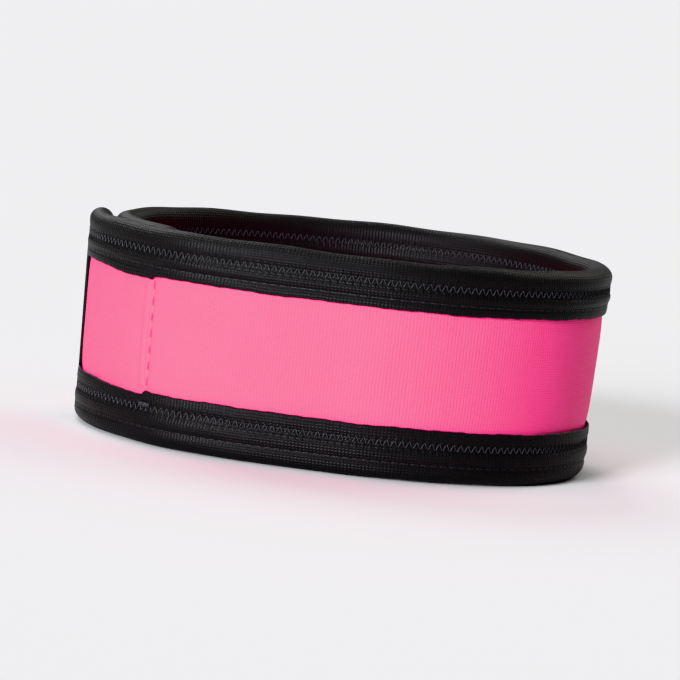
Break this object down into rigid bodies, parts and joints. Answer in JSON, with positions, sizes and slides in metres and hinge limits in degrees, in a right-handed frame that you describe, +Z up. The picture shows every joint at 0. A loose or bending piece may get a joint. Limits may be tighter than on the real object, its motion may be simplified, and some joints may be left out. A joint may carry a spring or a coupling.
{
  "type": "bicep band",
  "caption": "Soft foam armband wrapped once round the upper arm: a pink stripe between folded black edge tapes, closed by hook and loop where its ends overlap.",
  "frame": {"origin": "on the surface that the band stands on, under the centre of its box", "axes": "+X towards the front of the arm, -Y towards the outer side of the arm, +Z up the arm, from the lower edge to the upper edge"},
  "size_m": [0.1256, 0.1092, 0.0508],
  "materials": {
    "pink_knit_foam": "smooth fine-knit face on foam, soft sheen",
    "black_edge_tape": "matt folded tape with zigzag stitching",
    "hook_and_loop": "matt pile"
  },
  "bodies": {
    "root": {"stripe_panel": "pink_knit_foam", "top_binding": "black_edge_tape", "bottom_binding": "black_edge_tape", "flap_end_binding": "black_edge_tape", "under_end_binding": "black_edge_tape", "closure_pad": "hook_and_loop"}
  },
  "joints": []
}
